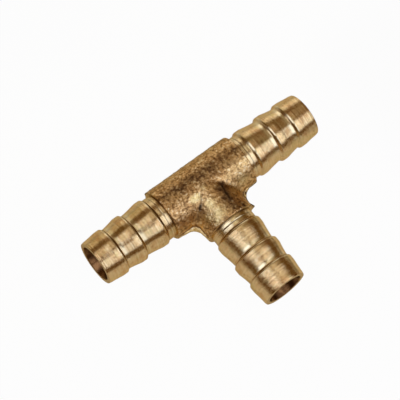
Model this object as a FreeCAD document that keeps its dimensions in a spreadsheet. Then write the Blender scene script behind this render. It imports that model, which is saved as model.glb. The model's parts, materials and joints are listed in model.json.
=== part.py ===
import FreeCAD, Part
import os
import Sketcher

# A forged brass tee for hose, with three turned hose tails. It is one piece.
# The run lies along X and the branch points to -Y. Z is square to the forging's parting plane.
# The origin is where the branch's axis meets the run's axis. Lengths are in millimetres.

driving = {
    # junction to mouth
    "runReach": 26.7,
    "branchReach": 26.9,
    # forged body, out to the shoulders that the lathe tool leaves
    "runBodyDiameter": 11.32,
    "branchBodyDiameter": 11.14,
    "runBodyReach": 9.95,
    "branchBodyReach": 9.75,
    "saddleRadius": 1.5,
    "shoulderBreak": 0.12,
    # neck between shoulder and barbs
    "neckDiameter": 9.66,
    # barbs: each climbs from its root to a crest, then falls steeply towards the body
    "rootDiameter": 9.42,
    "crestDiameter": 10.5,
    "endCrestDiameter": 10.32,
    "crestLand": 1.0,
    "backSlope": 0.7,
    "innerPitch": 5.36,
    "outerPitch": 4.72,
    # the ramp from the mouth to the first crest, which is cut last and differs a little
    "runEndRamp": 3.2,
    "branchEndRamp": 3.42,
    "mouthDiameter": 9.72,
    "mouthBreakLength": 0.5,
    "mouthBreakDepth": 0.12,
    # waterway
    "runBoreDiameter": 7.66,
    "branchBoreDiameter": 7.6,
    "boreBreak": 0.15,
    # flash left on the parting plane by the trimming die: how far it stands out of the body
    # along the run's back, at the hollow corners, and where it runs out at the shoulders
    "flashThickness": 0.7,
    "backFlashProud": 0.22,
    "leftFlashProud": 0.38,
    "leftFlashEndProud": 0.15,
    "leftFlashCornerRadius": 2.1,
    # the die cut closer on the right
    "rightFlashProud": 0.16,
    "rightFlashEndProud": 0.05,
    "rightFlashCornerRadius": 2.6,
    # torn nib of flash beside the branch's shoulder, on the right
    "nibProud": 0.66,
    "nibFromShoulder": 0.15,
}

doc = FreeCAD.newDocument("HoseBarbTee")
sheet = doc.addObject("Spreadsheet::Sheet", "dims")
for row, (name, value) in enumerate(driving.items(), start=1):
    sheet.set(f"A{row}", name)
    sheet.set(f"B{row}", str(value))
    sheet.setAlias(f"B{row}", name)
doc.recompute()


class Length:
    # a length: its value now, and the expression that ties it to the sheet

    def __init__(self, value, text):
        self.value = value
        self.text = text

    def __add__(self, other):
        return Length(self.value + other.value, f"{self.text} + {other.text}")

    def __sub__(self, other):
        return Length(self.value - other.value, f"{self.text} - ({other.text})")

    def __neg__(self):
        return Length(-self.value, f"-({self.text})")

    def half(self):
        return Length(self.value / 2, f"({self.text}) / 2")


def size(name):
    return Length(getattr(sheet, name), f"dims.{name}")


zero = Length(0.0, "0")
near = 1e-6

body = doc.addObject("PartDesign::Body", "BarbTee")
body.Label = "barb_tee"


def originFeature(role):
    for feature in body.Origin.OriginFeatures:
        if feature.Role == role:
            return feature
    raise RuntimeError(f"the body's origin has no {role}")


def newSketch(name, role, turn=0.0):
    # turn rotates the sketch in its plane, in degrees
    sketch = body.newObject("Sketcher::SketchObject", name)
    sketch.AttachmentSupport = (originFeature(role), [""])
    sketch.MapMode = "FlatFace"
    sketch.AttachmentOffset = FreeCAD.Placement(
        FreeCAD.Vector(0, 0, 0), FreeCAD.Rotation(FreeCAD.Vector(0, 0, 1), turn)
    )
    return sketch


def bind(sketch, constraint, name, length):
    index = sketch.addConstraint(constraint)
    sketch.renameConstraint(index, name)
    sketch.setExpression(f"Constraints.{name}", length.text)


def placePoint(sketch, edge, end, name, across, up):
    # holds one end of an edge at its distances from the sketch's origin
    if across is zero:
        sketch.addConstraint(Sketcher.Constraint("PointOnObject", edge, end, -2))
    else:
        bind(sketch, Sketcher.Constraint("DistanceX", edge, end, across.value), f"{name}X", across)
    if up is zero:
        sketch.addConstraint(Sketcher.Constraint("PointOnObject", edge, end, -1))
    else:
        bind(sketch, Sketcher.Constraint("DistanceY", edge, end, up.value), f"{name}Y", up)


def drawOutline(sketch, corners, arcs=()):
    # corners are (name, across, up); arcs gives the centre and radius where a round edge leaves a corner
    points = [FreeCAD.Vector(across.value, up.value, 0) for name, across, up in corners]
    edges = []
    for index, (name, across, up) in enumerate(corners):
        start = points[index]
        end = points[(index + 1) % len(points)]
        if name in arcs:
            centreX, centreY, radius = arcs[name]
            centre = FreeCAD.Vector(centreX.value, centreY.value, 0)
            towards = (start + end) * 0.5 - centre
            shape = Part.Arc(start, centre + towards * (radius.value / towards.Length), end)
        else:
            shape = Part.LineSegment(start, end)
        edge = sketch.addGeometry(shape, False)
        # an arc is kept anticlockwise, so its ends may be the other way round
        forward = sketch.getPoint(edge, 1).distanceToPoint(start) < near
        edges.append((edge, 1 if forward else 2, 2 if forward else 1))
    for index, (name, across, up) in enumerate(corners):
        edge, first, last = edges[index]
        before, beforeFirst, beforeLast = edges[index - 1]
        sketch.addConstraint(Sketcher.Constraint("Coincident", before, beforeLast, edge, first))
        placePoint(sketch, edge, first, name, across, up)
        if name in arcs:
            radius = arcs[name][2]
            bind(sketch, Sketcher.Constraint("Radius", edge, radius.value), f"{name}Radius", radius)


def addFeature(kind, name, grows):
    # grows says whether the feature must add material or take it away
    before = body.Tip.Shape.Volume if body.Tip else 0.0
    feature = body.newObject(f"PartDesign::{kind}", name)
    return feature, before, grows


def settle(feature, before, grows):
    body.Tip = feature
    doc.recompute()
    change = feature.Shape.Volume - before
    if (change > 0) != grows or abs(change) < near:
        raise RuntimeError(f"{feature.Name} changed the volume by {change:.4f}")


# half section of one turned tail with its share of the forged body, from the axis outwards
def drawTail(sketch, arm):
    reach = size(f"{arm}Reach")
    shoulder = size(f"{arm}BodyReach")
    bodyRadius = size(f"{arm}BodyDiameter").half()
    neckRadius = size("neckDiameter").half()
    rootRadius = size("rootDiameter").half()
    crestRadius = size("crestDiameter").half()
    endCrestRadius = size("endCrestDiameter").half()
    mouthRadius = size("mouthDiameter").half()
    land = size("crestLand")
    slope = size("backSlope")
    firstCrest = reach - size(f"{arm}EndRamp")
    secondCrest = firstCrest - size("outerPitch")
    thirdCrest = secondCrest - size("innerPitch")
    corners = [
        ("junction", zero, zero),
        ("bodyMiddle", zero, bodyRadius),
        ("bodyEnd", shoulder - size("shoulderBreak"), bodyRadius),
        ("shoulderEdge", shoulder, bodyRadius - size("shoulderBreak")),
        ("shoulderFoot", shoulder, neckRadius),
        ("neckEnd", thirdCrest - land - slope, neckRadius),
        ("thirdCrestIn", thirdCrest - land, crestRadius),
        ("thirdCrestOut", thirdCrest, crestRadius),
        ("secondRoot", secondCrest - land - slope, rootRadius),
        ("secondCrestIn", secondCrest - land, crestRadius),
        ("secondCrestOut", secondCrest, crestRadius),
        ("firstRoot", firstCrest - land - slope, rootRadius),
        ("firstCrestIn", firstCrest - land, endCrestRadius),
        ("firstCrestOut", firstCrest, endCrestRadius),
        ("rampEnd", reach - size("mouthBreakLength"), mouthRadius),
        ("mouthEdge", reach, mouthRadius - size("mouthBreakDepth")),
        ("mouthCentre", reach, zero),
    ]
    drawOutline(sketch, corners)


def revolveTail(name, arm, turn):
    sketch = newSketch(f"{name}Section", "XY_Plane", turn)
    drawTail(sketch, arm)
    doc.recompute()
    tail, before, grows = addFeature("Revolution", name, True)
    tail.Profile = sketch
    tail.ReferenceAxis = (sketch, ["H_Axis"])
    tail.Angle = 360.0
    settle(tail, before, grows)
    return tail


rightTail = revolveTail("RightTail", "run", 0.0)

leftTail, before, grows = addFeature("Mirrored", "LeftTail", True)
leftTail.Originals = [rightTail]
leftTail.MirrorPlane = (originFeature("YZ_Plane"), [""])
settle(leftTail, before, grows)

revolveTail("BranchTail", "branch", -90.0)


def edgesOf(shape, wanted):
    return [f"Edge{index}" for index, edge in enumerate(shape.Edges, start=1) if wanted(edge)]


# the forging's hollow corner, where the branch runs into the run
def onSaddle(edge):
    return not isinstance(edge.Curve, (Part.Circle, Part.Line))


base = body.Tip
saddle, before, grows = addFeature("Fillet", "Saddle", True)
saddle.Base = (base, edgesOf(base.Shape, onSaddle))
saddle.setExpression("Radius", "dims.saddleRadius")
settle(saddle, before, grows)


# flash round the body on the parting plane, with the nib at the branch's right shoulder
def drawFlash(sketch):
    runRadius = size("runBodyDiameter").half()
    branchRadius = size("branchBodyDiameter").half()
    backSide = runRadius + size("backFlashProud")
    runEnd = size("runBodyReach")
    branchEnd = size("branchBodyReach")
    nibEnd = branchEnd - size("nibFromShoulder")

    rightRound = size("rightFlashCornerRadius")
    rightRun = runRadius + size("rightFlashProud")
    rightBranch = branchRadius + size("rightFlashProud")
    rightX = rightBranch + rightRound
    rightY = rightRun + rightRound

    leftRound = size("leftFlashCornerRadius")
    leftRun = runRadius + size("leftFlashProud")
    leftBranch = branchRadius + size("leftFlashProud")
    leftX = leftBranch + leftRound
    leftY = leftRun + leftRound

    corners = [
        ("backLeft", -runEnd, backSide),
        ("backRight", runEnd, backSide),
        ("frontRight", runEnd, -(runRadius + size("rightFlashEndProud"))),
        ("rightCorner", rightX, -rightRun),
        ("rightCornerEnd", rightBranch, -rightY),
        ("nibTip", branchRadius + size("nibProud"), -nibEnd),
        ("branchRight", branchRadius + size("rightFlashEndProud"), -branchEnd),
        ("branchLeft", -(branchRadius + size("leftFlashEndProud")), -branchEnd),
        ("leftCorner", -leftBranch, -leftY),
        ("leftCornerEnd", -leftX, -leftRun),
        ("frontLeft", -runEnd, -(runRadius + size("leftFlashEndProud"))),
    ]
    arcs = {
        "rightCorner": (rightX, -rightY, rightRound),
        "leftCorner": (-leftX, -leftY, leftRound),
    }
    drawOutline(sketch, corners, arcs)


flashSketch = newSketch("FlashOutline", "XY_Plane")
drawFlash(flashSketch)
doc.recompute()
flash, before, grows = addFeature("Pad", "Flash", True)
flash.Profile = flashSketch
flash.SideType = "Symmetric"
flash.setExpression("Length", "dims.flashThickness")
settle(flash, before, grows)


def drillBore(name, role, turn, arm):
    sketch = newSketch(f"{name}Circle", role, turn)
    diameter = size(f"{arm}BoreDiameter")
    circle = Part.Circle(FreeCAD.Vector(0, 0, 0), FreeCAD.Vector(0, 0, 1), diameter.value / 2)
    edge = sketch.addGeometry(circle, False)
    sketch.addConstraint(Sketcher.Constraint("Coincident", edge, 3, -1, 1))
    bind(sketch, Sketcher.Constraint("Diameter", edge, diameter.value), "bore", diameter)
    doc.recompute()
    bore, before, grows = addFeature("Pocket", name, False)
    bore.Profile = sketch
    bore.Type = "ThroughAll"
    return bore, before, grows


# the run is drilled right through, and the branch from its mouth into the run
runBore, before, grows = drillBore("RunBore", "YZ_Plane", 180.0, "run")
runBore.SideType = "Symmetric"
settle(runBore, before, grows)

branchBore, before, grows = drillBore("BranchBore", "XZ_Plane", 0.0, "branch")
branchBore.Reversed = True
settle(branchBore, before, grows)


def onBoreMouth(edge):
    if not isinstance(edge.Curve, Part.Circle):
        return False
    boreRadii = [sheet.runBoreDiameter / 2, sheet.branchBoreDiameter / 2]
    return any(abs(edge.Curve.Radius - radius) < near for radius in boreRadii)


base = body.Tip
mouths, before, grows = addFeature("Chamfer", "BoreBreaks", False)
mouths.Base = (base, edgesOf(base.Shape, onBoreMouth))
mouths.setExpression("Size", "dims.boreBreak")
settle(mouths, before, grows)

for thing in doc.Objects:
    if "Invalid" in thing.State or "Error" in thing.State:
        raise RuntimeError(f"{thing.Name} failed: {thing.State}")
if body.Shape.isNull() or not body.Shape.isValid() or len(body.Shape.Solids) != 1:
    raise RuntimeError("the tee is not one valid solid")

os.makedirs("parts", exist_ok=True)
body.Shape.exportStep(f"parts/{body.Label}.step")
box = body.Shape.optimalBoundingBox(False, False)
print(f"{body.Label}: {box.XLength:.2f} x {box.YLength:.2f} x {box.ZLength:.2f} mm")
print(f"volume {body.Shape.Volume:.1f} mm3")
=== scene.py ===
import json
import math

import bmesh
import bpy
import numpy as np
from mathutils import Matrix, Vector


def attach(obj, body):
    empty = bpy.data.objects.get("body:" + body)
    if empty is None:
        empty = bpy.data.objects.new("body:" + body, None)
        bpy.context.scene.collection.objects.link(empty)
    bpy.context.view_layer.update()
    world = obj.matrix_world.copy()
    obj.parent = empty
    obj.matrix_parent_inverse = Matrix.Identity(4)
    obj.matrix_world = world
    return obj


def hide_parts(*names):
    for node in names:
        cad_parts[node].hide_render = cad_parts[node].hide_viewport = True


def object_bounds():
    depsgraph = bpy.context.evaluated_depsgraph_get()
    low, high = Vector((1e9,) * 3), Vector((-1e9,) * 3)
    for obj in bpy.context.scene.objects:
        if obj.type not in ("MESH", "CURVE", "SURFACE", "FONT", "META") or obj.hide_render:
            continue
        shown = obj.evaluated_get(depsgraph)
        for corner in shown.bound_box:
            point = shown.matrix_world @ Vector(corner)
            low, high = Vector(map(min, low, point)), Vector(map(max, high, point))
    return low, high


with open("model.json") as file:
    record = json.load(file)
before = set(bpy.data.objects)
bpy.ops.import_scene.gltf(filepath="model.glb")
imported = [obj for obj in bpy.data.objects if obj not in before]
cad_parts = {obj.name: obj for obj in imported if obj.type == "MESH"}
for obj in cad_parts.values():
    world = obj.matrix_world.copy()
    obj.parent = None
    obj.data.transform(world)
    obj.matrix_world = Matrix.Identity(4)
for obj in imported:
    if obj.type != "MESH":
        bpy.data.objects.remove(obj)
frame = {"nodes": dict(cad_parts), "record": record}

# A forged brass hose tee: a sand-blasted T body with flash on its parting line,
# and three turned, barbed tails round one drilled waterway. All of it is one piece.
# The run lies along X, the branch points to -Y, and +Z is up. Metres.

mm = 0.001
cadLow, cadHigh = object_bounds()
mounts = {mount["name"]: mount for mount in frame["record"]["mounts"]}
scene = bpy.context.scene
weldGap = 1e-7      # points nearer to each other than this are made one


# One output in a node tree. Python's operators on a number add Math nodes.
class Number:
    def __init__(self, tree, socket):
        self.tree = tree
        self.socket = socket

    def math(self, operation, *others):
        return self.tree.add("ShaderNodeMath", {"operation": operation}, [self, *others])[0]

    def __add__(self, other):
        return self.math("ADD", other)

    def __radd__(self, other):
        return self.math("ADD", other)

    def __sub__(self, other):
        return self.math("SUBTRACT", other)

    def __rsub__(self, other):
        return self.tree.add("ShaderNodeMath", {"operation": "SUBTRACT"}, [other, self])[0]

    def __mul__(self, other):
        return self.math("MULTIPLY", other)

    def __rmul__(self, other):
        return self.math("MULTIPLY", other)

    def __truediv__(self, other):
        return self.math("DIVIDE", other)

    def __rtruediv__(self, other):
        return self.tree.add("ShaderNodeMath", {"operation": "DIVIDE"}, [other, self])[0]

    def __neg__(self):
        return self.math("MULTIPLY", -1.0)

    def __pow__(self, other):
        return self.math("POWER", other)

    def __abs__(self):
        return self.math("ABSOLUTE")

    def lower(self, other, blend=0.0):
        return self.math("SMOOTH_MIN", other, blend)

    def upper(self, other, blend=0.0):
        return self.math("SMOOTH_MAX", other, blend)

    def ramp(self, start, end):
        # 0 at start, 1 at end, with soft ends
        settings = {"interpolation_type": "SMOOTHSTEP"}
        return self.tree.add("ShaderNodeMapRange", settings, {0: self, 1: start, 2: end})[0]

    def bell(self, centre, width):
        # 1 at centre, falling away over width on both sides
        return (-(((self - centre) / width) ** 2.0)).math("EXPONENT")

    def signed(self):
        # makes a noise's 0 to 1 run from -1 to 1
        return (self - 0.5) * 2.0


# One node of a tree. Its outputs are taken by index or name.
class Node:
    def __init__(self, tree, node):
        self.tree = tree
        self.node = node

    def __getitem__(self, key):
        return Number(self.tree, self.node.outputs[key])


class Tree:
    def __init__(self, nodes):
        self.nodes = nodes

    def add(self, kind, settings=None, inputs=None):
        node = self.nodes.nodes.new(kind)
        for name, value in (settings or {}).items():
            setattr(node, name, value)
        pairs = enumerate(inputs) if isinstance(inputs, list) else (inputs or {}).items()
        for key, value in pairs:
            self.plug(node.inputs[key], value)
        return Node(self, node)

    def plug(self, socket, value):
        if isinstance(value, Number):
            self.nodes.links.new(value.socket, socket)
        elif isinstance(value, tuple) and socket.type == "RGBA" and len(value) == 3:
            socket.default_value = (*value, 1.0)
        else:
            socket.default_value = value

    def mixColour(self, share, first, second):
        # sockets 0, 6 and 7 are the factor and the two colours, and output 2 is the mixed colour
        settings = {"data_type": "RGBA", "blend_type": "MIX"}
        return self.add("ShaderNodeMix", settings, {0: share, 6: first, 7: second})[2]

    def scaled(self, vector, factor):
        return self.add("ShaderNodeVectorMath", {"operation": "SCALE"}, {0: vector, 3: factor})[0]

    def noise(self, vector, size, seed, detail=2.0, roughness=0.5):
        # soft lumps about one size across, from 0 to 1
        inputs = {
            "Vector": vector, "W": seed, "Scale": 1.0 / size, "Detail": detail, "Roughness": roughness,
        }
        return self.add("ShaderNodeTexNoise", {"noise_dimensions": "4D"}, inputs)[0]

    def lineNoise(self, along, size, seed, detail=2.0):
        # bands across one direction, about one size apart
        inputs = {"W": along / size + seed, "Scale": 1.0, "Detail": detail}
        return self.add("ShaderNodeTexNoise", {"noise_dimensions": "1D"}, inputs)[0]


# Brass finishes

brass = {
    "wornAndSheen": (0.94, 0.77, 0.44),
    "clean": (0.80, 0.550, 0.250),
    "green": (0.68, 0.50, 0.20),
    "warm": (0.70, 0.405, 0.160),
    "tarnishAndShade": (0.30, 0.150, 0.052),
    # dark also paints shade in the tails' hollows and in the waterway
    "dark": (0.105, 0.045, 0.015),
    "forged": (0.74, 0.440, 0.168),
    "forgedWarm": (0.60, 0.325, 0.115),
    # the colour of the body's painted highlights
    "forgedBright": (0.87, 0.64, 0.265),
    "forgedTarnish": (0.225, 0.112, 0.038),
    "scale": (0.125, 0.068, 0.032),
    # the waterway's dark colours, painted as shade
    "boreRim": (0.26, 0.125, 0.045),
    "boreDeep": (0.060, 0.036, 0.014),
    "grazing": (0.95, 0.82, 0.55),     # tint of reflections at low angles
}


def newMaterial(name):
    material = bpy.data.materials.new(name)
    material.use_nodes = True
    material.node_tree.nodes.clear()
    return material, Tree(material.node_tree)


def finishMaterial(tree, colour, roughness, normal):
    inputs = {"Base Color": colour, "Roughness": roughness, "Metallic": 1.0, "Normal": normal}
    inputs["Specular Tint"] = brass["grazing"]
    shader = tree.add("ShaderNodeBsdfPrincipled", None, inputs)
    tree.add("ShaderNodeOutputMaterial", None, {0: shader[0]})


def bumped(tree, height, distance, normal=None):
    inputs = {"Height": height, "Distance": distance, "Strength": 1.0}
    if normal is not None:
        inputs["Normal"] = normal
    return tree.add("ShaderNodeBump", None, inputs)[0]


def attribute(tree, name):
    return tree.add("ShaderNodeAttribute", {"attribute_name": name})["Fac"]


turnedFinish = {
    "roughness": 0.15,
    "stainSize": 2.3 * mm,         # warm patches
    "mossSize": 1.8 * mm,          # greenish patches
    "freckleSize": 0.6 * mm,
    "lineSize": 0.13 * mm,         # the tool's finest lines
    "lineHeight": 0.034 * mm,
    "feedSize": 0.42 * mm,         # its broader feed marks
    "feedHeight": 0.030 * mm,
    "streakSize": 0.34 * mm,       # light and dark rings of colour
}


def turnedBrass():
    look = turnedFinish
    material, tree = newMaterial("turnedBrass")
    place = tree.add("ShaderNodeTexCoord")["Object"]
    along = attribute(tree, "along")       # metres from the junction along the tail's own axis
    hollowShade = attribute(tree, "hollowShade")     # painted shade: 1 in the roots, in the neck's groove and beside the shoulders
    wornAndSheen = attribute(tree, "wornAndSheen")         # wear and painted highlights: 1 on the crests, at the ramps' feet and on the neck's rings, on top only

    stain = tree.noise(place, look["stainSize"], 4.0, 2.0)
    moss = tree.noise(place, look["mossSize"], 21.0, 2.0)
    freckle = tree.noise(place, look["freckleSize"], 9.0, 2.0)
    lines = tree.lineNoise(along, look["lineSize"], 3.0, 3.0)
    feed = tree.lineNoise(along, look["feedSize"], 17.0, 1.0)
    streaks = tree.lineNoise(along, look["streakSize"], 41.0, 2.0)

    colour = tree.mixColour(stain.ramp(0.46, 0.64) * 0.8, brass["clean"], brass["warm"])
    colour = tree.mixColour(moss.ramp(0.52, 0.68) * 0.7, colour, brass["green"])
    colour = tree.mixColour(streaks.ramp(0.52, 0.70) * 0.28, colour, brass["wornAndSheen"])
    colour = tree.mixColour(streaks.ramp(0.46, 0.32) * 0.15, colour, brass["tarnishAndShade"])
    colour = tree.mixColour(freckle.ramp(0.44, 0.30) * 0.4, colour, brass["wornAndSheen"])
    colour = tree.mixColour(freckle.ramp(0.57, 0.72) * 0.40, colour, brass["tarnishAndShade"])
    # wear, with painted highlights
    colour = tree.mixColour(wornAndSheen * 0.9, colour, brass["wornAndSheen"])
    # painted shade in the hollows
    colour = tree.mixColour(hollowShade * 0.75, colour, brass["dark"])
    roughness = look["roughness"] + 0.07 * lines + 0.10 * stain.ramp(0.5, 0.8) + 0.15 * hollowShade
    normal = bumped(tree, lines * (1.0 - 0.6 * wornAndSheen), look["lineHeight"])
    normal = bumped(tree, feed * (1.0 - 0.8 * wornAndSheen), look["feedHeight"], normal)
    finishMaterial(tree, colour, roughness, normal)
    return material


forgedFinish = {
    "roughness": 0.24,
    "grainSize": 0.60 * mm,        # what the blasting left
    "grainHeight": 0.13 * mm,
    "speckSize": 0.34 * mm,        # its finest pits
    "speckHeight": 0.08 * mm,
    "fleckSize": 0.62 * mm,        # light and dark flecks of colour
    "flakeSize": 1.1 * mm,         # flakes in the scale
    "blotchSize": 1.9 * mm,        # broad patches of two brass colours
}


def forgedBrass():
    look = forgedFinish
    material, tree = newMaterial("forgedBrass")
    place = tree.add("ShaderNodeTexCoord")["Object"]
    shadeLines = attribute(tree, "shadeLines")           # painted shade: 1 in the creases and in dark lines along the flash
    shade = attribute(tree, "tarnishAndShade")     # 1 where scale from the forge is left, and where shade and dark reflections are painted
    paintedHighlight = attribute(tree, "paintedHighlight")     # painted highlights: 1 where the skin is painted brightest
    flashSheen = attribute(tree, "flashSheen")       # 1 on the flash in front, painted brighter as a sheen, with fewer dark flecks

    grain = tree.noise(place, look["grainSize"], 2.0, 2.0, 0.7)
    fleck = tree.noise(place, look["fleckSize"], 31.0, 2.0, 0.7)
    speck = tree.noise(place, look["speckSize"], 7.0, 1.0)
    flake = tree.noise(place, look["flakeSize"], 37.0, 2.0)
    blotch = tree.noise(place, look["blotchSize"], 5.0, 3.0)
    low = fleck.ramp(0.54, 0.36) * (1.0 - 0.8 * flashSheen)
    shadeLines = shadeLines * (0.5 + fleck)

    colour = tree.mixColour(blotch.ramp(0.42, 0.66), brass["forged"], brass["forgedWarm"])
    # painted highlights, and the flash's painted sheen
    colour = tree.mixColour(paintedHighlight.upper(flashSheen * 0.8), colour, brass["forgedBright"])
    colour = tree.mixColour(fleck.ramp(0.54, 0.68) * 0.75, colour, brass["wornAndSheen"])
    colour = tree.mixColour(low * (0.9 - 0.45 * paintedHighlight), colour, brass["forgedTarnish"])
    # forge scale, with painted shade and dark reflections
    colour = tree.mixColour(shade * fleck.ramp(0.80, 0.32), colour, brass["scale"])
    colour = tree.mixColour(shade * flake.ramp(0.50, 0.62) * 0.8, colour, brass["dark"])
    # painted shade in the creases and along the flash
    colour = tree.mixColour(shadeLines, colour, brass["scale"])
    colour = tree.mixColour(shadeLines.ramp(0.7, 1.0), colour, brass["boreDeep"])
    roughness = look["roughness"] + 0.12 * blotch + 0.10 * shade
    normal = bumped(tree, speck, look["speckHeight"])
    normal = bumped(tree, grain, look["grainHeight"], normal)
    finishMaterial(tree, colour, roughness, normal)
    return material


boredFinish = {
    "roughness": 0.20,
    "lineSize": 0.22 * mm,         # the drill's rings
    "lineHeight": 0.010 * mm,
    "stainSize": 1.6 * mm,
}


def boredBrass():
    look = boredFinish
    material, tree = newMaterial("boredBrass")
    place = tree.add("ShaderNodeTexCoord")["Object"]
    along = attribute(tree, "along")
    boreShade = attribute(tree, "boreShade")         # painted shade: 0 at a mouth, 1 well inside
    lines = tree.lineNoise(along, look["lineSize"], 29.0, 2.0)
    stain = tree.noise(place, look["stainSize"], 12.0, 3.0)
    # the waterway's dark colours are painted shade, darkest well inside
    colour = tree.mixColour(stain.ramp(0.40, 0.62), brass["boreRim"], brass["dark"])
    colour = tree.mixColour(boreShade, colour, brass["boreDeep"])
    roughness = look["roughness"] + 0.16 * stain
    finishMaterial(tree, colour, roughness, bumped(tree, lines, look["lineHeight"]))
    return material


finishes = {"forged": forgedBrass(), "turned": turnedBrass(), "bored": boredBrass()}
print("finishes made")


# Shared mesh helpers

def newObject(name, mesh):
    made = bpy.data.objects.new(name, mesh)
    scene.collection.objects.link(made)
    return made


def settleModifiers(piece):
    # the evaluated mesh becomes the piece's own
    graph = bpy.context.evaluated_depsgraph_get()
    mesh = bpy.data.meshes.new_from_object(piece.evaluated_get(graph), depsgraph=graph)
    piece.modifiers.clear()
    old = piece.data
    piece.data = mesh
    mesh.name = piece.name
    bpy.data.meshes.remove(old)


def combine(piece, other, operation):
    cut = piece.modifiers.new("combine", "BOOLEAN")
    cut.operation = operation
    cut.solver = "MANIFOLD"
    cut.object = other
    settleModifiers(piece)
    bpy.data.objects.remove(other)


def cleanUp(mesh, gap=weldGap):
    work = bmesh.new()
    work.from_mesh(mesh)
    bmesh.ops.remove_doubles(work, verts=work.verts, dist=gap)
    bmesh.ops.recalc_face_normals(work, faces=work.faces)
    work.to_mesh(mesh)
    work.free()


def lathe(name, outline, turn, segments=96):
    # outline is (along, radius) from one end to the other, both on the axis
    # turn is the angle about Z that carries +X to the piece's own direction
    work = bmesh.new()
    verts = [work.verts.new((along, 0.0, radius)) for along, radius in outline]
    edges = [work.edges.new(pair) for pair in zip(verts, verts[1:])]
    axis = Vector((1.0, 0.0, 0.0))
    bmesh.ops.spin(
        work, geom=verts + edges, cent=(0, 0, 0), axis=axis, angle=2 * math.pi,
        steps=segments, use_merge=True,
    )
    bmesh.ops.remove_doubles(work, verts=work.verts, dist=weldGap)
    bmesh.ops.recalc_face_normals(work, faces=work.faces)
    bmesh.ops.rotate(work, verts=work.verts, cent=(0, 0, 0), matrix=Matrix.Rotation(turn, 3, "Z"))
    mesh = bpy.data.meshes.new(name)
    work.to_mesh(mesh)
    work.free()
    return newObject(name, mesh)


def setInputs(modifier, values):
    # inputs are set by their socket's identifier
    for item in modifier.node_group.interface.items_tree:
        if item.item_type == "SOCKET" and item.in_out == "INPUT" and item.name in values:
            modifier[item.identifier] = values[item.name]


def newGeometryTree(name, sizes, takesGeometry):
    group = bpy.data.node_groups.new(name, "GeometryNodeTree")
    group.is_modifier = True
    if takesGeometry:
        group.interface.new_socket("Geometry", in_out="INPUT", socket_type="NodeSocketGeometry")
    for key, value in sizes.items():
        kind = "NodeSocketInt" if isinstance(value, int) else "NodeSocketFloat"
        socket = group.interface.new_socket(key, in_out="INPUT", socket_type=kind)
        socket.default_value = value
    group.interface.new_socket("Geometry", in_out="OUTPUT", socket_type="NodeSocketGeometry")
    tree = Tree(group)
    given = tree.add("NodeGroupInput")
    return group, tree, given


def endTree(tree, geometry, material):
    real = tree.add("GeometryNodeRealizeInstances", None, [geometry])
    painted = tree.add("GeometryNodeSetMaterial", None, {"Geometry": real[0], "Material": material})
    tree.add("NodeGroupOutput", None, [painted[0]])


# Turned tails

tail = {
    "Crest Radius": mounts["right_tail"]["dims"]["r_mm"] * mm,
    "End Crest Radius": 5.16 * mm,
    "Root Radius": 4.71 * mm,
    "Neck Radius": 4.83 * mm,
    "Mouth Radius": 4.86 * mm,
    "Crest Land": 1.24 * mm,
    "Back Slope": 0.46 * mm,
    "Crest Blend": 0.26 * mm,      # how far the crests are rounded into their back slopes
    "Inner Pitch": 5.36 * mm,
    "Outer Pitch": 4.72 * mm,
    "Mouth Break Length": 0.5 * mm,
    "Mouth Break Depth": 0.12 * mm,
    "Edge Blend": 0.08 * mm,       # how far the other corners are rounded
    "Ramp Curve": 1.35,            # over 1, a ramp starts level at its foot and steepens
    "Neck Fall": 4.0,              # how steeply the neck drops under the last barb, where it ends
    "Groove Depth": 0.06 * mm,     # the tool groove round the neck
    "Groove Width": 0.07 * mm,
    "Ring Swell": 0.005 * mm,      # the two rings beside the groove are rounded by this much
    "Ring Half": 0.42 * mm,
    "Ring Fade": 0.12 * mm,        # their rounding sets in over this length behind the last barb
    "Feed Mark": 0.008 * mm,       # height of the feed marks along the tail
    "Feed Pitch": 0.42 * mm,
    "Rings": 196,
    "Segments": 96,
}
runReach = cadHigh.x
branchReach = -cadLow.y
runShoulder = 9.95 * mm
branchShoulder = 9.75 * mm
runRamp = 3.2 * mm         # from a mouth to the first crest
branchRamp = 3.42 * mm
branchTurn = -math.pi / 2
buried = 0.9 * mm          # length of neck that is sunk in the body before they are joined
seamGap = 0.001 * mm       # a tail's skin is closed where its points are nearer than this
arms = {
    "right": {"Reach": runReach, "Shoulder": runShoulder, "End Ramp": runRamp, "Turn": 0.0, "Seed": 1.0},
    "left": {"Reach": runReach, "Shoulder": runShoulder, "End Ramp": runRamp, "Turn": math.pi, "Seed": 5.0},
    "branch": {
        "Reach": branchReach, "Shoulder": branchShoulder, "End Ramp": branchRamp,
        "Turn": branchTurn, "Seed": 9.0,
    },
}


def barb(outEnd, crest, foot, footRadius, backRadius, given):
    # one barb's radius against the distance from the mouth: ramp, land, back slope
    fromMouth = given["fromMouth"]
    blend = given["Edge Blend"]
    inEnd = outEnd + given["Crest Land"]
    climbed = ((fromMouth - foot) / (outEnd - foot)).upper(0.0) ** given["Ramp Curve"]
    ramp = footRadius + climbed * (crest - footRadius)
    back = crest - (fromMouth - inEnd) * (crest - backRadius) / given["Back Slope"]
    return ramp.lower(crest, blend).lower(back, given["Crest Blend"])


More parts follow.
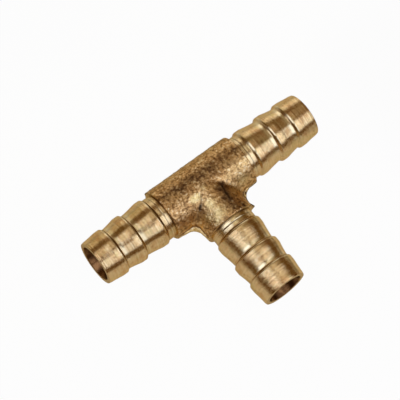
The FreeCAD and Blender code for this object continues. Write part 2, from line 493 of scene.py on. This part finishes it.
def tailTree():
    group, tree, node = newGeometryTree("turnedTail", {**tail, **arms["right"], "Buried": buried}, False)
    given = {name: node[name] for name in [*tail, *arms["right"], "Buried"]}

    # a strip of rings and segments, from buried end to mouth, both ends drawn in to the axis
    strip = tree.add("GeometryNodeMeshGrid", None, [1.0, 1.0, given["Rings"], given["Segments"] + 1])
    spot = tree.add("ShaderNodeSeparateXYZ", None, [tree.add("GeometryNodeInputPosition")[0]])
    ring = (spot["X"] + 0.5) * (given["Rings"] - 1)
    around = (spot["Y"] + 0.5) * (2.0 * math.pi)
    start = given["Shoulder"] - given["Buried"]
    share = ((ring - 1.0) / (given["Rings"] - 3)).upper(0.0).lower(1.0)
    along = start + (given["Reach"] - start) * share
    # 0 on the first and last rings, which are on the axis, and 1 on the others
    isSkin = ring.math("GREATER_THAN", 0.5) * (given["Rings"] - 1.5 - ring).math("GREATER_THAN", 0.0)

    fromMouth = given["Reach"] - along
    given["fromMouth"] = fromMouth
    land = given["Crest Land"] + given["Back Slope"]     # from a crest's outer edge to the next foot
    first = given["End Ramp"]
    second = first + given["Outer Pitch"]
    third = second + given["Inner Pitch"]
    root = given["Root Radius"]
    neck = given["Neck Radius"]
    mouth = given["Mouth Radius"]
    crest = given["Crest Radius"]
    blend = given["Edge Blend"]
    radius = barb(first, given["End Crest Radius"], given["Mouth Break Length"], mouth, root, given)
    radius = radius.upper(barb(second, crest, first + land, root, root, given), blend)
    radius = radius.upper(barb(third, crest, second + land, root, neck, given), blend)
    neckEnd = third + land
    radius = radius.upper(neck - (neckEnd - fromMouth).upper(0.0) * given["Neck Fall"], blend)
    lip = mouth - given["Mouth Break Depth"]
    broken = lip + fromMouth * given["Mouth Break Depth"] / given["Mouth Break Length"]
    radius = radius.lower(broken, blend * 0.5)

    # marks of the tool: a groove between two rings round the neck, and the feed along the whole tail
    neckMiddle = (given["Reach"] - given["Shoulder"] + neckEnd) / 2.0
    offRing = (abs(fromMouth - neckMiddle) - given["Ring Half"]) / given["Ring Half"]
    onNeck = (fromMouth - neckEnd).ramp(0.0, given["Ring Fade"])
    radius = radius - given["Ring Swell"] * (offRing * offRing).lower(2.0) * onNeck
    radius = radius - given["Groove Depth"] * fromMouth.bell(neckMiddle, given["Groove Width"])
    marks = tree.lineNoise(along, given["Feed Pitch"], given["Seed"], 1.0)
    radius = (radius + (marks - 0.5) * given["Feed Mark"]) * isSkin

    place = tree.add(
        "ShaderNodeCombineXYZ", None, [along, radius * around.math("SINE"), radius * around.math("COSINE")],
    )
    inputs = {"Vector": place[0], "Angle": given["Turn"]}
    turned = tree.add("ShaderNodeVectorRotate", {"rotation_type": "Z_AXIS"}, inputs)
    shaped = tree.add("GeometryNodeSetPosition", None, {"Geometry": strip[0], "Position": turned[0]})
    # welds the strip's two long edges, and each end ring to one point
    closed = tree.add("GeometryNodeMergeByDistance", None, {"Geometry": shaped[0], "Distance": seamGap})
    endTree(tree, closed[0], finishes["turned"])
    return group


def makeTail(name, group):
    piece = newObject(name, bpy.data.meshes.new(name))
    modifier = piece.modifiers.new("turn", "NODES")
    modifier.node_group = group
    setInputs(modifier, {**tail, **arms[name], "Buried": buried})
    settleModifiers(piece)
    cleanUp(piece.data)
    return piece


tailGroup = tailTree()
tails = {name: makeTail(name, tailGroup) for name in arms}
print("tails turned:", {name: len(piece.data.polygons) for name, piece in tails.items()})


# Forged body

forging = {
    "Grain Height": 0.075 * mm,
    "Grain Size": 0.80 * mm,
    "Swell Height": 0.07 * mm,
    "Swell Size": 2.6 * mm,
    "Rag Height": 0.10 * mm,       # how ragged the flash's edge is
    "Rag Size": 0.8 * mm,
    "Flash Half": 0.30 * mm,       # half the flash's thickness, less its rounding
    "Flash Fade": 1.5,             # the ragged part ends at this many times that
    "Crease Depth": 0.12 * mm,     # the hard line where the branch meets the run, on its left
    "Crease Width": 0.30 * mm,
    "Crease Start X": -1.2 * mm,   # where it sets in, out along the run and up from its middle,
    "Crease Start Z": 1.0 * mm,
    "Crease Full X": -2.4 * mm,    # and where it has its full depth
    "Crease Full Z": 2.2 * mm,
    "Shoulder X": runShoulder,
    "Shoulder Y": branchShoulder,
    "Fade End": 0.05 * mm,         # the skin dies out between these distances from a shoulder
    "Fade": 0.35 * mm,
    "Seed": 3.0,
}
voxel = 0.165 * mm
plugRadius = 4.3 * mm      # fills the waterway while the skin is made
plugReach = 12.0 * mm
solidGap = 0.0005 * mm     # the solid's points are welded within this
nip = 0.002 * mm           # how far inside the shoulders the tails are cut off


def bodyBlank():
    # the solid's own forged part: waterway filled, tails cut off just inside the shoulders
    mesh = frame["nodes"]["barb_tee"].data.copy()
    mesh.materials.clear()
    blank = newObject("tee", mesh)
    cleanUp(mesh, solidGap)
    rod = [(-plugReach, 0.0), (-plugReach, plugRadius), (plugReach, plugRadius), (plugReach, 0.0)]
    halfRod = [(0.0, 0.0), (0.0, plugRadius), (plugReach, plugRadius), (plugReach, 0.0)]
    combine(blank, lathe("runPlug", rod, 0.0), "UNION")
    combine(blank, lathe("branchPlug", halfRod, branchTurn), "UNION")
    low = Vector((-runShoulder + nip, -branchShoulder + nip, cadLow.z - mm))
    high = Vector((runShoulder - nip, cadHigh.y + mm, cadHigh.z + mm))
    work = bmesh.new()
    bmesh.ops.create_cube(work, size=1.0)
    for vert in work.verts:
        vert.co = Vector([low[i] + (vert.co[i] + 0.5) * (high[i] - low[i]) for i in range(3)])
    box = bpy.data.meshes.new("trim")
    work.to_mesh(box)
    work.free()
    combine(blank, newObject("trim", box), "INTERSECT")
    return blank


def skinTree():
    group, tree, node = newGeometryTree("forgedSkin", forging, True)
    given = {name: node[name] for name in forging}
    here = tree.add("GeometryNodeInputPosition")[0]
    facing = tree.add("GeometryNodeInputNormal")[0]
    spot = tree.add("ShaderNodeSeparateXYZ", None, [here])
    across, along, up = spot["X"], spot["Y"], spot["Z"]

    clear = (given["Shoulder X"] - abs(across)).ramp(given["Fade End"], given["Fade"])
    clear = clear * (given["Shoulder Y"] + along).ramp(given["Fade End"], given["Fade"])
    grain = tree.noise(here, given["Grain Size"], given["Seed"], 2.0, 0.6)
    swell = tree.noise(here, given["Swell Size"], given["Seed"] + 5.0, 2.0)
    lift = grain.signed() * given["Grain Height"] + swell.signed() * given["Swell Height"]

    # the flash is torn along its edge, where the skin is nearly level with the parting plane
    onFlash = abs(up).ramp(given["Flash Half"] * given["Flash Fade"], given["Flash Half"])
    rag = tree.noise(here, given["Rag Size"], given["Seed"] + 11.0, 3.0, 0.7)
    lift = lift + onFlash * rag.signed() * given["Rag Height"]

    # the crease lies in the plane between the two arms on the left
    offPlane = (along - across) / math.sqrt(2.0)
    inCorner = across.ramp(given["Crease Start X"], given["Crease Full X"])
    inCorner = inCorner * up.ramp(given["Crease Start Z"], given["Crease Full Z"])
    lift = lift - given["Crease Depth"] * offPlane.bell(0.0, given["Crease Width"]) * inCorner

    offset = tree.scaled(facing, lift * clear)
    moved = tree.add("GeometryNodeSetPosition", None, {"Geometry": node["Geometry"], "Offset": offset})
    endTree(tree, moved[0], finishes["forged"])
    return group


def forgeBody():
    body = bodyBlank()
    remesh = body.modifiers.new("skin", "REMESH")
    remesh.mode = "VOXEL"
    remesh.voxel_size = voxel
    remesh.use_smooth_shade = True
    settleModifiers(body)
    grain = body.modifiers.new("grain", "NODES")
    grain.node_group = skinTree()
    setInputs(grain, forging)
    settleModifiers(body)
    return body


tee = forgeBody()
print("body forged:", len(tee.data.polygons), "faces")


# Tails and body are one piece of metal, and the waterway is drilled through both

bore = {
    "runRadius": mounts["run_bore"]["dims"]["r_mm"] * mm,
    "branchRadius": mounts["branch_bore"]["dims"]["r_mm"] * mm,
    "mouthBreak": 0.15 * mm,       # how far in the broken edge of a mouth starts
    # its points, in shares of that: how far in from the mouth, and how far out from the wall.
    # The last stretch is at 45 degrees, so that the flat end stays sharp beside it.
    "breakPoints": [(1.0, 0.0), (0.45, 0.35), (0.0, 0.8)],
    "overrun": 0.5 * mm,           # how far the drill goes on past a mouth
    "segments": 128,
    "wallSlack": 0.02 * mm,        # a face this close to the wall's radius is part of the wall
    "rimRadius": 4.3 * mm,         # lies between a mouth's broken edge and the tail's outside
    "darkening": (0.2 * mm, 3.0 * mm),     # how far inside the painted shade starts, and where it is darkest
}


def drill(name, radius, start, reach, turn):
    # widens at each open mouth, where the edge is broken, and on past it
    edge = bore["mouthBreak"]
    outEnd = [(reach - edge * inward, radius + edge * outward) for inward, outward in bore["breakPoints"]]
    wide = outEnd[-1][1]
    outEnd.append((reach + bore["overrun"], wide + bore["overrun"]))
    outEnd.append((reach + bore["overrun"], 0.0))
    if start < 0.0:
        inEnd = [(-along, wall) for along, wall in reversed(outEnd)]
    else:
        inEnd = [(start, 0.0), (start, radius)]
    return lathe(name, inEnd + outEnd, turn, bore["segments"])


for name in arms:
    combine(tee, tails[name], "UNION")
combine(tee, drill("runDrill", bore["runRadius"], -runReach, runReach, 0.0), "DIFFERENCE")
combine(tee, drill("branchDrill", bore["branchRadius"], 0.0, branchReach, branchTurn), "DIFFERENCE")
cleanUp(tee.data)
print("joined and drilled:", len(tee.data.polygons), "faces")


# Which finish each face has, and what the finishes read from the surface

def readPoints(mesh):
    points = np.empty(len(mesh.vertices) * 3, np.float32)
    mesh.vertices.foreach_get("co", points)
    return points.reshape(-1, 3).astype(float)


def readCentres(mesh):
    centres = np.empty(len(mesh.polygons) * 3, np.float32)
    mesh.polygons.foreach_get("center", centres)
    return centres.reshape(-1, 3).astype(float)


def writeAttribute(mesh, name, values):
    made = mesh.attributes.new(name, "FLOAT", "POINT")
    made.data.foreach_set("value", values.astype(np.float32))


def smoothStep(values, start, end):
    share = np.clip((values - start) / (end - start), 0.0, 1.0)
    return share * share * (3.0 - 2.0 * share)


def bellCurve(values, centre, width):
    # 1 at centre, falling away over width on both sides
    return np.exp(-(((values - centre) / width) ** 2))


slack = 0.01 * mm      # a point or face this near a shoulder or a flat end belongs to it


def onBranch(points):
    return points[:, 1] < -branchShoulder + slack


# Painted shade in the hollows, and places worn bright with painted highlights, on the turned metal.
# A width is how far one spreads along the tail, and a pair of heights or depths is where a change starts
# and where it is complete.
wearShadeAndSheen = {
    "rootWidths": (0.20 * mm, 0.20 * mm, 0.18 * mm),     # from the mouth in
    "shoulderWidth": 0.12 * mm,
    "grooveWidth": 0.06 * mm,
    "rightRootShare": 0.3,                     # the right tail's roots get less of the painted shade
    "sideShare": 0.3,                          # how much of the painted shade is on the sides and below, and between which heights it grows to all of it
    "dirtHeights": (1.6 * mm, 3.4 * mm),       # and between which heights it grows to all of it
    "endShare": 0.5,                           # how much darker the flat ends are
    "endDepths": (0.03 * mm, 0.01 * mm),
    "crestWidth": 0.20 * mm,
    "footWidth": 0.5 * mm,
    "footGap": 0.45 * mm,                      # from a back slope to the brightened foot of the next ramp
    "neckWidth": 0.8 * mm,
    "neckShare": {"branch": 1.0, "right": 0.6, "left": 0.35},
    "rubbedHeights": (2.2 * mm, 3.4 * mm),     # only the top is worn bright, with painted highlights
}


def surfaceFacts(mesh):
    points = readPoints(mesh)
    branchPart = onBranch(points)
    rightPart = ~branchPart & (points[:, 0] > 0.0)
    along = np.where(branchPart, -points[:, 1], np.abs(points[:, 0]))
    writeAttribute(mesh, "along", along)

    reach = np.where(branchPart, branchReach, runReach)
    shoulder = np.where(branchPart, branchShoulder, runShoulder)
    land = tail["Crest Land"]
    slope = tail["Back Slope"]
    firstCrest = reach - np.where(branchPart, branchRamp, runRamp)
    secondCrest = firstCrest - tail["Outer Pitch"]
    thirdCrest = secondCrest - tail["Inner Pitch"]
    crests = (firstCrest, secondCrest, thirdCrest)
    neckMiddle = (shoulder + thirdCrest - land - slope) / 2.0

    # painted shade on the back slopes and the roots behind them, at the foot of each shoulder and in the
    # groove
    rootShare = np.where(rightPart, wearShadeAndSheen["rightRootShare"], 1.0)
    hollowShade = bellCurve(along, shoulder, wearShadeAndSheen["shoulderWidth"])
    hollowShade = np.maximum(hollowShade, bellCurve(along, neckMiddle, wearShadeAndSheen["grooveWidth"]))
    for crest, width in zip(crests, wearShadeAndSheen["rootWidths"]):
        middle = crest - land - slope / 2.0
        hollowShade = np.maximum(hollowShade, rootShare * bellCurve(along, middle, width))
    onTop = smoothStep(points[:, 2], *wearShadeAndSheen["dirtHeights"])
    hollowShade = hollowShade * (wearShadeAndSheen["sideShare"] + (1.0 - wearShadeAndSheen["sideShare"]) * onTop)
    flatEnd = smoothStep(reach - along, *wearShadeAndSheen["endDepths"])
    writeAttribute(mesh, "hollowShade", np.maximum(hollowShade, wearShadeAndSheen["endShare"] * flatEnd))

    # the crests' back edges, the neck and the ramps' feet are worn bright, and painted brighter as
    # highlights on top
    shares = wearShadeAndSheen["neckShare"]
    neckShare = np.where(branchPart, shares["branch"], np.where(rightPart, shares["right"], shares["left"]))
    wornAndSheen = neckShare * bellCurve(along, neckMiddle, wearShadeAndSheen["neckWidth"])
    for crest in crests:
        wornAndSheen = np.maximum(wornAndSheen, bellCurve(along, crest - land, wearShadeAndSheen["crestWidth"]))
    for crest in (firstCrest, secondCrest):
        foot = crest - land - slope - wearShadeAndSheen["footGap"]
        wornAndSheen = np.maximum(wornAndSheen, bellCurve(along, foot, wearShadeAndSheen["footWidth"]))
    writeAttribute(mesh, "wornAndSheen", wornAndSheen * smoothStep(points[:, 2], *wearShadeAndSheen["rubbedHeights"]))
    # painted shade inside the waterway
    writeAttribute(mesh, "boreShade", smoothStep(reach - along, *bore["darkening"]))
    return points


def paintFaces(mesh):
    order = ("forged", "turned", "bored")
    mesh.materials.clear()
    for finish in order:
        mesh.materials.append(finishes[finish])
    centres = readCentres(mesh)
    branchPart = onBranch(centres)
    fromRunAxis = np.hypot(centres[:, 1], centres[:, 2])
    fromBranchAxis = np.hypot(centres[:, 0], centres[:, 2])
    fromAxis = np.where(branchPart, fromBranchAxis, fromRunAxis)
    isTurned = branchPart | (np.abs(centres[:, 0]) > runShoulder - slack)
    isBored = fromAxis < bore["runRadius"] + bore["wallSlack"]
    isBored |= (centres[:, 1] < 0.0) & (fromBranchAxis < bore["branchRadius"] + bore["wallSlack"])
    # the broken edge of each mouth gets the waterway's dark colours and painted shade
    fromEnd = np.where(branchPart, branchReach + centres[:, 1], runReach - np.abs(centres[:, 0]))
    isBored |= (fromEnd > slack) & (fromEnd < bore["mouthBreak"]) & (fromAxis < bore["rimRadius"])
    outside = np.where(isTurned, order.index("turned"), order.index("forged"))
    index = np.where(isBored, order.index("bored"), outside)
    mesh.polygons.foreach_set("material_index", index.astype(np.int32))


# Soft patches on the body: centre and radius in millimetres, and strength.
# Forge scale that the blasting left, with painted shade and a painted dark reflection along the branch's
# top right:
scaleAndShadePatches = [
    ((-5.9, 1.4, 5.5), 1.1, 1.0), ((-4.8, 0.5, 5.6), 0.9, 1.0), ((-8.0, 1.4, 5.5), 1.1, 0.9),
    ((2.5, 0.8, 5.6), 1.6, 0.86), ((0.4, 0.9, 5.6), 1.6, 0.86), ((8.9, 0.8, 5.6), 0.8, 1.0),
    ((-1.6, 1.0, 5.6), 1.4, 0.90), ((5.4, 0.9, 5.6), 1.6, 0.60), ((-3.4, 1.2, 5.5), 1.2, 0.75),
    ((2.4, -3.5, 5.0), 0.7, 0.9), ((1.9, -5.2, 5.25), 0.8, 0.9), ((1.6, -7.0, 5.35), 0.9, 0.95),
    ((1.3, -3.9, 5.4), 0.9, 0.85), ((1.0, -6.0, 5.5), 0.9, 0.95), ((1.1, -8.4, 5.45), 0.9, 0.95),
    ((0.3, -7.0, 5.55), 1.0, 0.6), ((3.6, -4.7, 4.2), 1.1, 0.05), ((3.2, -6.6, 4.5), 1.1, 0.12),
    ((4.6, -8.0, 3.1), 1.2, 0.2), ((3.3, -9.0, 4.4), 0.8, 1.0), ((-3.9, -4.35, 4.0), 0.5, 0.8),
    ((-0.6, 0.1, 5.65), 1.5, 0.55), ((-6.8, -2.4, 5.1), 1.8, 0.16), ((7.2, -2.2, 5.2), 2.0, 0.10),
]
# and painted highlights, where the skin is painted brightest:
highlightPatches = [
    ((7.2, -2.2, 5.2), 2.0, 0.35), ((4.6, -2.6, 5.0), 1.2, 0.35), ((9.0, -2.2, 5.2), 1.2, 0.40),
    ((-2.1, -5.2, 5.1), 1.3, 1.0), ((-1.9, -7.6, 5.2), 1.6, 1.0), ((-3.0, -8.5, 4.7), 1.2, 1.0),
    ((-3.2, -2.5, 5.1), 0.7, 1.9), ((-4.1, -2.5, 5.1), 0.7, 1.9),
    ((-1.2, -1.6, 5.4), 0.8, 0.6), ((-4.0, -7.0, 3.9), 1.4, 0.9), ((7.0, -4.4, 3.5), 1.5, 0.8),
    ((3.9, -5.2, 3.9), 1.3, 0.6), ((-4.9, -5.6, 2.6), 1.4, 0.3), ((5.85, -6.75, 0.35), 0.4, 1.6),
]
# Painted shade in the creases in the corners between the arms, and a painted dark reflection along
# the branch's top right: how dark and how wide each is, and the points in millimetres that its line joins
creases = [
    (0.45, 0.22, [(-2.5, -2.7, 5.0), (-3.1, -3.6, 4.6), (-3.8, -4.3, 4.05), (-4.3, -4.6, 3.5)]),
    (1.15, 0.34, [(-3.62, -4.05, 4.25), (-4.1, -4.5, 3.75)]),
    (0.86, 0.50, [(2.5, -3.1, 5.05), (2.2, -3.5, 5.1), (1.84, -4.9, 5.26), (1.65, -6.6, 5.32)]),
]
# and painted shade along the edge of the flash in the right corner, given the same way
flashShade = [
    (1.15, 0.22, [(5.72, -7.45, 0.33), (5.86, -8.6, 0.33), (6.15, -9.6, 0.33)]),
    (1.00, 0.22, [(6.3, -6.5, 0.33), (6.5, -6.25, 0.33)]),
]
# What lies all along the flash. A level is a height above or below the parting plane, a share is
# how strong the painted shade is, and a pair is where a change starts and where it is complete.
flashMarks = {
    "front": (0.0, -1.0 * mm),             # in Y: what is in front of the run's axis
    "right": (0.0, 3.0 * mm),              # in X: what is on the right
    # the painted sheen on the flash
    "brightLevels": (0.46 * mm, 0.36 * mm),
    "besideShare": 0.55,                   # painted shade in a line just above it and just below it
    "besideLevel": 0.56 * mm,
    "besideWidth": 0.10 * mm,
    "edgeShare": 0.9,                      # painted shade on its own edge, on the right
    "edgeLevels": (0.36 * mm, 0.27 * mm),
    "backShare": 0.7,                      # and painted shade all along the back of the run
    "backLevels": (2.8 * mm, 1.6 * mm),
}


def patches(points, places):
    total = np.zeros(len(points))
    for centre, radius, strength in places:
        away = np.linalg.norm(points - np.array(centre) * mm, axis=1)
        total = np.maximum(total, strength * bellCurve(away, 0.0, radius * mm))
    return total


def offLine(points, line):
    # distance from each point to a line of joined segments
    corners = [np.array(corner) * mm for corner in line]
    nearest = np.full(len(points), np.inf)
    for start, end in zip(corners, corners[1:]):
        step = end - start
        share = np.clip((points - start) @ step / (step @ step), 0.0, 1.0)
        nearest = np.minimum(nearest, np.linalg.norm(points - start - share[:, None] * step, axis=1))
    return nearest


def forgedFacts(mesh, points):
    # forge scale, with painted shade and dark reflections
    writeAttribute(mesh, "tarnishAndShade", patches(points, scaleAndShadePatches))
    # painted highlights
    writeAttribute(mesh, "paintedHighlight", patches(points, highlightPatches))
    level = np.abs(points[:, 2])
    inFront = smoothStep(points[:, 1], *flashMarks["front"])
    onRight = smoothStep(points[:, 0], *flashMarks["right"])
    # the front of the flash is painted brighter, as a sheen
    writeAttribute(mesh, "flashSheen", inFront * smoothStep(level, *flashMarks["brightLevels"]))

    # painted shade in the creases and along the flash
    shadeLines = np.zeros(len(points))
    for strength, width, line in creases + flashShade:
        shadeLines = np.maximum(shadeLines, strength * bellCurve(offLine(points, line), 0.0, width * mm))
    beside = bellCurve(level, flashMarks["besideLevel"], flashMarks["besideWidth"])
    edge = onRight * inFront * smoothStep(level, *flashMarks["edgeLevels"])
    back = (1.0 - inFront) * smoothStep(level, *flashMarks["backLevels"])
    shadeLines = np.maximum(shadeLines, flashMarks["besideShare"] * beside)
    shadeLines = np.maximum(shadeLines, flashMarks["edgeShare"] * edge)
    shadeLines = np.maximum(shadeLines, flashMarks["backShare"] * back)
    writeAttribute(mesh, "shadeLines", shadeLines)


sharpAngle = math.radians(42.0)     # corners that turn by more stay sharp
points = surfaceFacts(tee.data)
forgedFacts(tee.data, points)
paintFaces(tee.data)
tee.data.polygons.foreach_set("use_smooth", np.ones(len(tee.data.polygons), bool))
tee.data.set_sharp_from_angle(angle=sharpAngle)
tee.data.update()
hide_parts("barb_tee")
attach(tee, "root")
triangles = sum(len(face.vertices) - 2 for face in tee.data.polygons)
print("tee finished:", triangles, "triangles")


# Floor and studio

studio = {
    "floorHalf": 1.2,
    "floorColour": (0.82, 0.77, 0.64),
    "floorShade": (0.36, 0.31, 0.23),
    "floorSeenWhite": 0.965,      # share of plain white in what the camera sees of the floor
    "floorGlossWhite": 0.20,      # the same for what the metal reflects
    # the floor is in shade to the right of the tee, and a little behind it on the left, which
    # hardly shows but in the metal. A pair is where the shade starts and where it is full.
    "rightShade": {"x": (0.030, 0.045), "front": (-0.060, -0.040), "back": (0.020, 0.005)},
    "backShade": {"x": (0.025, 0.005), "y": (0.030, 0.050), "depth": 0.35},
    "roomColour": (0.13, 0.072, 0.020),
    "panelHeight": 0.45,
    "cool": (0.89, 1.03, 1.38),
    "even": (0.93, 0.97, 1.05),
    "soft": (0.94, 0.90, 0.77),
}
# flat panels overhead, square to the tee: two corners, how bright they are, and their colour
panels = {
    "frontPanel": {"low": (-0.32, -0.95), "high": (0.18, -0.235), "radiance": 0.98, "colour": "cool"},
    "frontRight": {"low": (0.18, -0.95), "high": (0.56, -0.235), "radiance": 1.30, "colour": "cool"},
    "farRight": {"low": (0.56, -0.95), "high": (0.95, -0.52), "radiance": 1.45, "colour": "cool"},
    "frontStep": {"low": (0.04, -0.235), "high": (0.50, -0.125), "radiance": 1.15, "colour": "cool"},
    "leftPanel": {"low": (-0.56, -0.15), "high": (-0.105, 0.22), "radiance": 1.36, "colour": "cool"},
    "leftWing": {"low": (-0.95, 0.19), "high": (-0.56, 0.42), "radiance": 1.30, "colour": "cool"},
    "topPanel": {"low": (-0.07, -0.03), "high": (0.05, 0.26), "radiance": 0.60, "colour": "soft"},
    "topStrip": {"low": (0.05, -0.03), "high": (0.12, 0.26), "radiance": 0.85, "colour": "even"},
    "dimPanel": {"low": (0.12, -0.125), "high": (0.50, 0.60), "radiance": 0.15, "colour": "soft"},
    "nearPanel": {
        "height": 0.065, "low": (0.003, -0.050), "high": (0.042, -0.012),
        "radiance": 0.44, "colour": "even",
    },
}
# panels behind the tee and on its right, facing it: place, width and height
backPanels = {
    "backRight": {"place": (0.24, 0.42, 0.125), "size": (0.24, 0.26), "radiance": 1.0, "colour": "even"},
    "backLeft": {"place": (-0.02, 0.50, 0.15), "size": (0.26, 0.30), "radiance": 0.5, "colour": "soft"},
    "sideRight": {"place": (0.30, 0.08, 0.012), "size": (0.18, 0.034), "radiance": 0.36, "colour": "even"},
}


def makeFloor():
    half = studio["floorHalf"]
    level = cadLow.z
    corners = [(-half, -half, level), (half, -half, level), (half, half, level), (-half, half, level)]
    mesh = bpy.data.meshes.new("floor")
    mesh.from_pydata(corners, [], [(0, 1, 2, 3)])
    floor = newObject("floor", mesh)
    material, tree = newMaterial("floorWhite")
    rays = tree.add("ShaderNodeLightPath")
    share = rays["Is Camera Ray"].upper(rays["Is Transmission Ray"]) * studio["floorSeenWhite"]
    share = share.upper(rays["Is Glossy Ray"] * studio["floorGlossWhite"])
    spot = tree.add("ShaderNodeSeparateXYZ", None, [tree.add("ShaderNodeTexCoord")["Object"]])
    right = studio["rightShade"]
    behind = studio["backShade"]
    toRight = spot["X"].ramp(*right["x"]) * spot["Y"].ramp(*right["front"]) * spot["Y"].ramp(*right["back"])
    behindLeft = spot["X"].ramp(*behind["x"]) * spot["Y"].ramp(*behind["y"])
    shade = toRight.upper(behindLeft * behind["depth"])
    shaded = tree.mixColour(shade, studio["floorColour"], studio["floorShade"])
    share = share * (1.0 - shade * rays["Is Glossy Ray"])
    lit = tree.add("ShaderNodeBsdfDiffuse", None, {"Color": shaded})
    plain = tree.add("ShaderNodeEmission", None, {"Color": (1.0, 1.0, 1.0), "Strength": 1.0})
    mixed = tree.add("ShaderNodeMixShader", None, [share, lit[0], plain[0]])
    tree.add("ShaderNodeOutputMaterial", None, {0: mixed[0]})
    mesh.materials.append(material)


def makeRoom():
    world = bpy.data.worlds.new("studio")
    world.use_nodes = True
    world.node_tree.nodes.clear()
    tree = Tree(world.node_tree)
    rays = tree.add("ShaderNodeLightPath")
    seen = rays["Is Camera Ray"].upper(rays["Is Transmission Ray"])
    dim = tree.add("ShaderNodeBackground", None, {"Color": studio["roomColour"], "Strength": 1.0})
    white = tree.add("ShaderNodeBackground", None, {"Color": (1.0, 1.0, 1.0), "Strength": 1.0})
    mixed = tree.add("ShaderNodeMixShader", None, [seen, dim[0], white[0]])
    tree.add("ShaderNodeOutputWorld", None, {0: mixed[0]})
    scene.world = world


def makePanel(name, facts, size, place, aim=None):
    light = bpy.data.lights.new(name, "AREA")
    light.shape = "RECTANGLE"
    light.size, light.size_y = size
    light.energy = facts["radiance"] * math.pi * size[0] * size[1]     # watts for that radiance
    light.color = studio[facts["colour"]]
    lamp = bpy.data.objects.new(name, light)
    lamp.location = place
    if aim is not None:
        lamp.rotation_euler = (aim - Vector(place)).to_track_quat("-Z", "Y").to_euler()
    lamp.visible_camera = False
    scene.collection.objects.link(lamp)


makeFloor()
makeRoom()
for name, facts in panels.items():
    lowX, lowY = facts["low"]
    highX, highY = facts["high"]
    place = ((lowX + highX) / 2, (lowY + highY) / 2, facts.get("height", studio["panelHeight"]))
    makePanel(name, facts, (highX - lowX, highY - lowY), place)
for name, facts in backPanels.items():
    makePanel(name, facts, facts["size"], facts["place"], Vector((0.0, 0.0, 0.0)))


# Camera, from the photograph's own perspective. Azimuth 0 looks along +Y, from -Y.

camera = {
    "azimuth": -46.369,
    "elevation": 68.642,
    "roll": 8.655,
    "distance": 0.40658,
    "focalPixels": 2018.87,
    "aimPixel": (200.62, 187.57),      # where the junction shows in the picture
    "centrePixel": (203.36, 198.14),   # where the lens's own axis meets the picture
    "frame": 400,
    "sensor": 36.0,
    "clip": (0.01, 10.0),              # nothing nearer or farther is drawn
}


def makeCamera():
    azimuth = math.radians(camera["azimuth"])
    elevation = math.radians(camera["elevation"])
    roll = math.radians(camera["roll"])
    level = math.cos(elevation)
    back = Vector((math.sin(azimuth) * level, -math.cos(azimuth) * level, math.sin(elevation)))
    right = Vector((math.cos(azimuth), math.sin(azimuth), 0.0))
    up = back.cross(right)
    rolledRight = right * math.cos(roll) + up * math.sin(roll)
    rolledUp = up * math.cos(roll) - right * math.sin(roll)
    pixel = camera["distance"] / camera["focalPixels"]      # metres to a pixel at the junction
    offRight = (camera["aimPixel"][0] - camera["centrePixel"][0]) * pixel
    offUp = (camera["centrePixel"][1] - camera["aimPixel"][1]) * pixel
    lens = bpy.data.cameras.new("camera")
    lens.sensor_width = camera["sensor"]
    lens.lens = camera["focalPixels"] * camera["sensor"] / camera["frame"]
    middle = (camera["frame"] - 1) / 2      # pixels are counted from 0, by their centres
    lens.shift_x = (middle - camera["centrePixel"][0]) / camera["frame"]
    lens.shift_y = (camera["centrePixel"][1] - middle) / camera["frame"]
    lens.clip_start, lens.clip_end = camera["clip"]
    eye = bpy.data.objects.new("camera", lens)
    turn = Matrix((rolledRight, rolledUp, back)).transposed()
    place = back * camera["distance"] - rolledRight * offRight - rolledUp * offUp
    eye.matrix_world = Matrix.Translation(place) @ turn.to_4x4()
    scene.collection.objects.link(eye)
    scene.camera = eye


makeCamera()
scene.view_settings.view_transform = "Standard"
print("studio and camera set")
